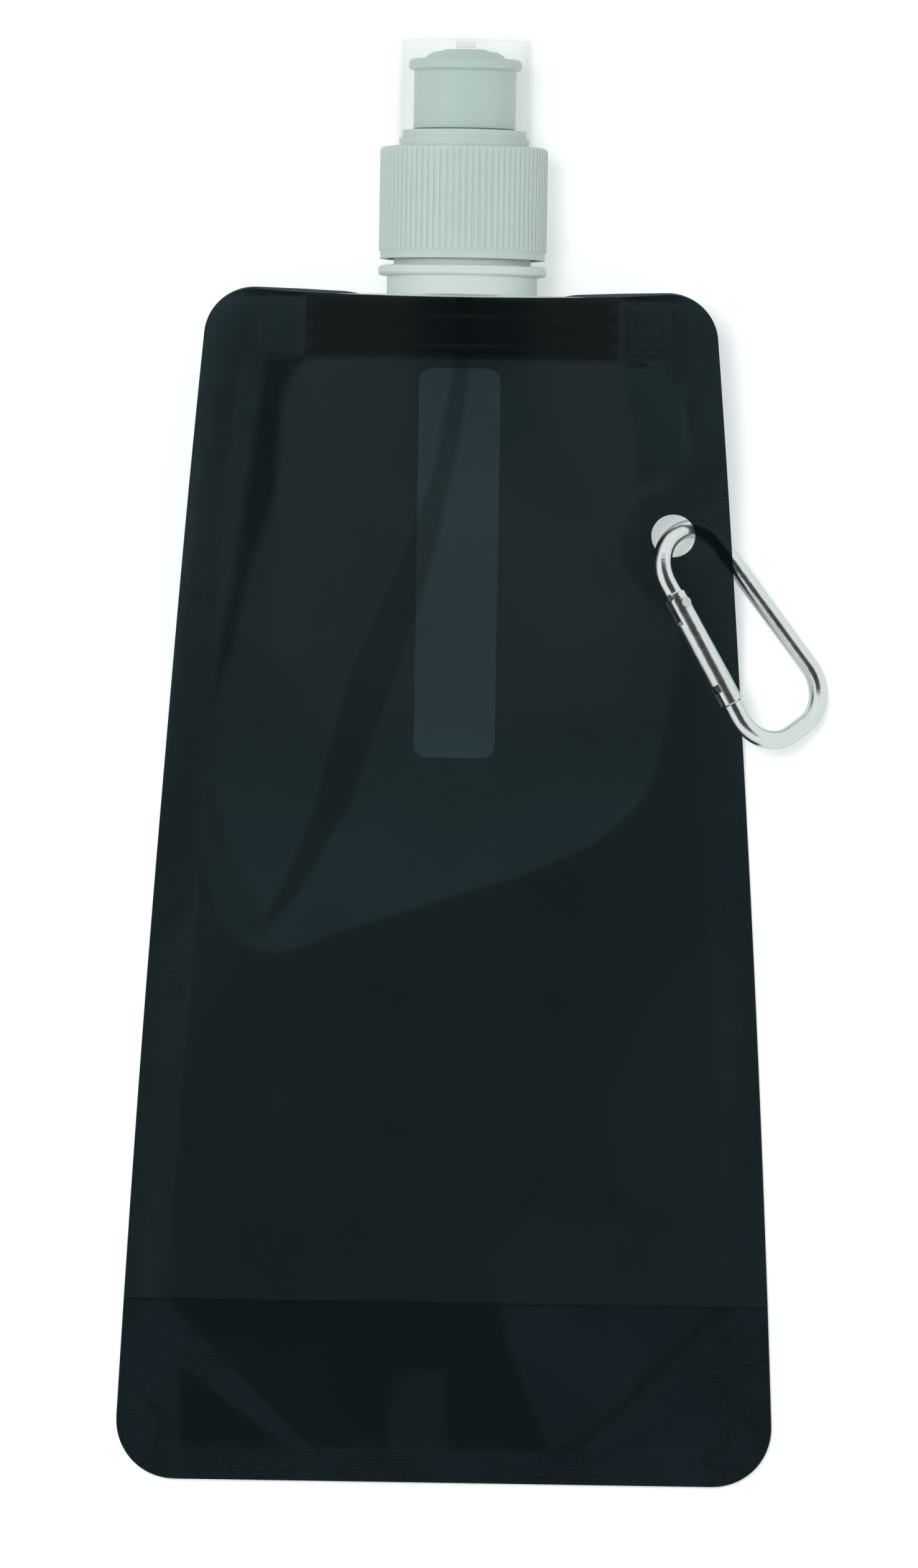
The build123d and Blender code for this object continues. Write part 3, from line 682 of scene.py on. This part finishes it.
def front_marks(tree, plan, x, height, crumple, passed, relief):
    """Adds what only the front sheet shows to the light that it lets past and to its relief."""
    melt = melt_lines(tree, plan, x, height)
    passed = dimmed(tree, passed, melt, 0.5)
    relief = minus(tree, relief, times(tree, melt, 0.3))

    # Crumples beside the boat's ends, darkened as painted shade, most along their folds, and the outline
    # of the pads that weld the film there.
    folds = line_at(tree, noise(tree, plan, 26.0, 3.0, distortion=1.6), 0.5, 0.06)
    folds = times(tree, folds, crumple)
    passed = dimmed(tree, dimmed(tree, passed, folds, 0.45), crumple, 0.18)
    relief = minus(tree, relief, times(tree, folds, 0.4))
    for pad_x, pad_h, reach_x, reach_h in WING_PADS:
        outline = box_outline(tree, x, height, (pad_x, pad_h), (reach_x, reach_h), 1.3)
        passed = dimmed(tree, passed, ramp(tree, outline, 0.1, -0.3), -0.04)
        passed = dimmed(tree, passed, line_at(tree, outline, 0.0, 0.3), 0.14)

    # The strip without tint, down the middle, with a fine border.
    outline = box_outline(tree, x, height, (-0.1, 168.1), (7.45, 35.4), 2.5)
    passed = dimmed(tree, passed, ramp(tree, outline, 0.08, -0.08), -0.41)
    passed = dimmed(tree, passed, line_at(tree, outline, 0.1, 0.28), 0.10)

    # The round tacks in the bottom corners, and the gusset's fold as a fine dark line.
    from_tack = distance(
        tree, minus(tree, absolute(tree, x), TACK_X), minus(tree, height, TACK_HEIGHT)
    )
    passed = dimmed(tree, passed, line_at(tree, from_tack, TACK_RADIUS, 0.3), 0.16)
    passed = dimmed(tree, passed, line_at(tree, height, GUSSET_TOP - 0.1, 0.5), 0.22)
    return passed, relief


def film_material(name, own_colour, through_colour, clearness, front):
    """Smoked film: see-through by its marks, knurled where it is welded, finely streaked elsewhere."""
    material, tree, output = new_material(name)
    plan = node(tree, "ShaderNodeUVMap", uv_map="plan").outputs[0]
    place = node(tree, "ShaderNodeSeparateXYZ", links={"Vector": plan})
    x = times(tree, place.outputs["X"], 100.0)
    height = times(tree, place.outputs["Y"], 100.0)
    weld, clear, crumple = [
        node(tree, "ShaderNodeAttribute", attribute_name=mark).outputs["Fac"]
        for mark in ("weld", "clear", "crumple")
    ]
    knurl = knurl_marks(tree, plan, x, height, weld)

    # Fine streaks across the film, from its making, and soft unevenness.
    streaks = noise(tree, plan, 1.0, 4.0, stretch=(40.0, 300.0, 1.0))
    uneven = noise(tree, plan, 3.5, 1.0)
    relief = plus(tree, times(tree, streaks, 0.12), times(tree, knurl, 0.12))

    # Light passes both faces of a sheet, so each face takes the square root of its mark.
    passed = math_node(tree, "POWER", math_node(tree, "MAXIMUM", clear, 0.01), 0.5)
    passed = times(tree, passed, clearness)
    passed = times(tree, passed, plus(tree, times(tree, uneven, 0.10), 0.95))
    passed = times(tree, passed, plus(tree, times(tree, streaks, 0.14), 0.93))
    passed = dimmed(tree, passed, knurl, 0.05)
    if front:
        passed, relief = front_marks(tree, plan, x, height, crumple, passed, relief)

    roughness = plus(tree, 0.27, times(tree, weld, 0.10))
    roughness = plus(tree, roughness, times(tree, uneven, 0.06))
    skin = node(
        tree,
        "ShaderNodeBsdfPrincipled",
        links={"Roughness": roughness, "Normal": bumped(tree, relief, 0.55, 0.00012)},
        values={"Base Color": (*own_colour, 1), "IOR": 1.5, "Specular IOR Level": 0.08},
    )
    through = node(tree, "ShaderNodeBsdfTransparent", values={"Color": (*through_colour, 1)})
    mixed = node(
        tree, "ShaderNodeMixShader", links={0: passed, 1: skin.outputs[0], 2: through.outputs[0]}
    )
    tree.links.new(mixed.outputs[0], output.inputs["Surface"])
    return material


SMOKE = (0.0038, 0.0058, 0.0066)
SMOKE_TINT = (0.852, 0.966, 1.0)
SMOKE_CLEARNESS = 0.437


def give_finish(piece, material):
    """Gives a piece its one finish."""
    piece.data.materials.clear()
    piece.data.materials.append(material)


front_film = film_material("smoked_film_front", SMOKE, SMOKE_TINT, SMOKE_CLEARNESS, front=True)
back_film = film_material("smoked_film_back", SMOKE, SMOKE_TINT, SMOKE_CLEARNESS, front=False)

for name, side, columns, fine, material, stood_for in (
    ("front_sheet", 1, 158, 1.0, front_film, ("front_panel_upper", "front_panel_lower")),
    ("back_sheet", -1, 110, 0.7, back_film, ("back_panel_upper", "back_panel_lower")),
):
    sheet = make_sheet(name, side, columns, fine)
    give_finish(sheet, material)
    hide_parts(*stood_for)
    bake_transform(sheet)

# ---------------------------------------------------------------------------
# Bottom gusset
# One strip of thinner film, folded up between the sheets and welded to them at
# the sides and bottom, so that the bottle can stand once it is filled.
# ---------------------------------------------------------------------------
GUSSET_FILM = 0.2
GUSSET_LOW, GUSSET_HIGH = gusset_low[2], gusset_high[2]
GUSSET_INSET = 0.12
GUSSET_TINT = (0.973, 0.983, 1.0)
GUSSET_CLEARNESS = 0.87
LEG_STEPS, BEND_STEPS = 40, 8

steps = 2 * LEG_STEPS + BEND_STEPS
gusset, flat = flat_grid("gusset_strip", 100, steps)
step = np.rint((flat[:, 1] + 0.5) * steps)
bend_r = (GUSSET_HIGH - GUSSET_LOW - GUSSET_FILM) / 2
bend_turn = np.clip((step - LEG_STEPS) / BEND_STEPS, 0, 1) * np.pi
leg_top = GUSSET_TOP - GUSSET_FILM / 2 - bend_r
leg = np.clip(np.minimum(step, steps - step) / LEG_STEPS, 0, 1)
close_at_base = 1 - np.cos(leg * np.pi / 2)
height = np.where(
    (step > LEG_STEPS) & (step < LEG_STEPS + BEND_STEPS),
    leg_top + bend_r * np.sin(bend_turn),
    leg_top * (0.5 * leg + 0.5 * close_at_base),
)
x = 2 * flat[:, 0] * (half_width(height) - GUSSET_INSET)
upper_leg = (step >= LEG_STEPS + BEND_STEPS).astype(float)
z = (GUSSET_LOW + GUSSET_HIGH) / 2 - bend_r * np.cos(bend_turn)
z += upper_leg * 0.10 * eased(free_inside(x, height) / 3)
set_points(gusset, x, BASE_Y + height, z)
give_thickness(gusset, GUSSET_FILM, 0)
mark_film(gusset, -1)
gusset_film = film_material("gusset_film", SMOKE, GUSSET_TINT, GUSSET_CLEARNESS, front=False)
give_finish(gusset, gusset_film)
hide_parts("bottom_gusset")
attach(gusset, "pouch_lower")

# ---------------------------------------------------------------------------
# Spout, screw cap and nozzle
# Moulded in white polyethylene: the spout is welded into the film, the ribbed
# cap screws on its neck, and the drinking nozzle slides on the cap's tower.
# ---------------------------------------------------------------------------


def tinted(tree, mark, low, high):
    """A colour between two others, by a mark from 0 to 1."""
    made = node(
        tree,
        "ShaderNodeMix",
        data_type="RGBA",
        links={"Factor": mark},
        values={"A": (*low, 1), "B": (*high, 1)},
    )
    return made.outputs["Result"]


def white_moulding(name, colour, roughness):
    """White polyethylene: faintly cloudy colour, a fine moulded grain and small scuffs."""
    material, tree, output = new_material(name)
    place = tree.nodes.new("ShaderNodeTexCoord").outputs["Object"]
    tint = tinted(
        tree, noise(tree, place, 60.0, 3.0), [0.955 * c for c in colour], [1.045 * c for c in colour]
    )
    grain = noise(tree, place, 2600.0, 2.0)
    scuffs = noise(tree, place, 1.0, 4.0, stretch=(900.0, 60.0, 900.0))
    relief = plus(tree, grain, times(tree, scuffs, 0.5))
    shade = node(
        tree,
        "ShaderNodeBsdfPrincipled",
        links={
            "Base Color": tint,
            "Roughness": plus(tree, roughness, times(tree, scuffs, 0.12)),
            "Normal": bumped(tree, relief, 0.18, 0.00006),
        },
        values={
            "IOR": 1.51,
            "Specular IOR Level": 0.4,
            "Subsurface Weight": 0.4,
            "Subsurface Radius": (1, 1, 1),
            "Subsurface Scale": 0.0015,
        },
    )
    tree.links.new(shade.outputs[0], output.inputs["Surface"])
    return material


CARRIED_OVER = frame["nodes"]
SPOUT_WHITE, CAP_WHITE, NOZZLE_WHITE = (0.71, 0.815, 0.79), (0.61, 0.725, 0.70), (0.535, 0.67, 0.645)
give_finish(CARRIED_OVER["screw_cap"], white_moulding("white_cap_plastic", CAP_WHITE, 0.34))
give_finish(CARRIED_OVER["spout"], white_moulding("white_spout_plastic", SPOUT_WHITE, 0.36))
give_finish(CARRIED_OVER["nozzle"], white_moulding("white_nozzle_plastic", NOZZLE_WHITE, 0.30))

# ---------------------------------------------------------------------------
# Sealing washer
# A ring of closed-cell foam, punched from sheet. It lies loose inside the cap,
# above the neck, and is squeezed between them when the cap is screwed down.
# ---------------------------------------------------------------------------
foam, tree, output = new_material("washer_foam")
place = tree.nodes.new("ShaderNodeTexCoord").outputs["Object"]
cells = node(tree, "ShaderNodeTexVoronoi", links={"Vector": place}, values={"Scale": 2200.0})
foam_shade = node(
    tree,
    "ShaderNodeBsdfPrincipled",
    links={
        "Base Color": tinted(tree, cells.outputs["Distance"], (0.60, 0.63, 0.62), (0.78, 0.80, 0.79)),
        "Normal": bumped(tree, cells.outputs["Distance"], 0.3, 0.0001),
    },
    values={"Roughness": 0.75, "Specular IOR Level": 0.25},
)
tree.links.new(foam_shade.outputs[0], output.inputs["Surface"])
give_finish(CARRIED_OVER["sealing_washer"], foam)

# ---------------------------------------------------------------------------
# Dust cap
# A thin cup moulded in clear polypropylene, a little hazy, that snaps over the
# seat on the screw cap. Its edges look whiter, where the wall is seen end on.
# ---------------------------------------------------------------------------
clear_cup, tree, output = new_material("clear_dust_cap")
place = tree.nodes.new("ShaderNodeTexCoord").outputs["Object"]
cloudy = noise(tree, place, 90.0, 3.0)
draw_lines = noise(tree, place, 1.0, 3.0, stretch=(700.0, 25.0, 700.0))
edge_on = node(tree, "ShaderNodeLayerWeight", values={"Blend": 0.32}).outputs["Facing"]
solid = plus(tree, times(tree, edge_on, 0.20), times(tree, cloudy, 0.06))
solid = math_node(tree, "ADD", solid, 0.02, clamp=True)
cup_skin = node(
    tree,
    "ShaderNodeBsdfPrincipled",
    links={"Normal": bumped(tree, draw_lines, 0.12, 0.00005)},
    values={"Base Color": (0.95, 0.98, 0.97, 1), "Roughness": 0.16, "IOR": 1.49},
)
cup_clear = node(tree, "ShaderNodeBsdfTransparent", values={"Color": (0.997, 1.0, 1.0, 1)})
cup_mix = node(
    tree, "ShaderNodeMixShader", links={0: solid, 1: cup_clear.outputs[0], 2: cup_skin.outputs[0]}
)
tree.links.new(cup_mix.outputs[0], output.inputs["Surface"])
give_finish(CARRIED_OVER["dust_cap"], clear_cup)

# ---------------------------------------------------------------------------
# Carabiner
# The ring is bent from aluminium wire and tumbled bright, the gate is a turned
# and slotted bar, and a steel rivet, spring and plunger work the gate.
# ---------------------------------------------------------------------------


def bright_metal(name, colour, roughness, marks):
    """Tumbled metal: small dents and fine scratches, that break up its reflections, and painted shade on
    the edges that turn away.
    """
    material, tree, output = new_material(name)
    place = tree.nodes.new("ShaderNodeTexCoord").outputs["Object"]
    dents = noise(tree, place, 700.0, 4.0)
    along_wire = node(
        tree,
        "ShaderNodeMapping",
        links={"Vector": place},
        values={"Rotation": (0, 0, math.radians(59)), "Scale": (300.0, 4200.0, 4200.0)},
    )
    scratches = noise(tree, along_wire.outputs[0], 1.0, 3.0)
    relief = plus(tree, dents, times(tree, scratches, 0.4))
    tint = tinted(tree, scratches, [0.9 * c for c in colour], colour)
    # Painted shade: the metal's colour is darkened where its surface turns away from the view.
    turned_away = node(tree, "ShaderNodeLayerWeight", values={"Blend": 0.35}).outputs["Facing"]
    edge_shaded = node(
        tree,
        "ShaderNodeMix",
        data_type="RGBA",
        blend_type="MULTIPLY",
        links={"Factor": turned_away, "A": tint},
        values={"B": (0.34, 0.42, 0.42, 1)},
    )
    shade = node(
        tree,
        "ShaderNodeBsdfPrincipled",
        links={
            "Base Color": edge_shaded.outputs["Result"],
            "Roughness": plus(tree, roughness, times(tree, dents, 0.16)),
            "Normal": bumped(tree, relief, marks, 0.00008),
        },
        values={"Metallic": 1.0},
    )
    tree.links.new(shade.outputs[0], output.inputs["Surface"])
    return material


RING_METAL, GATE_METAL, STEEL = (0.78, 0.83, 0.82), (0.76, 0.81, 0.80), (0.62, 0.65, 0.65)
give_finish(CARRIED_OVER["carabiner_frame"], bright_metal("bright_aluminium", RING_METAL, 0.15, 0.45))
give_finish(CARRIED_OVER["carabiner_gate"], bright_metal("turned_aluminium", GATE_METAL, 0.17, 0.5))
for name in ("gate_rivet", "gate_spring", "gate_plunger"):
    give_finish(CARRIED_OVER[name], bright_metal(f"steel_{name}", STEEL, 0.20, 0.15))
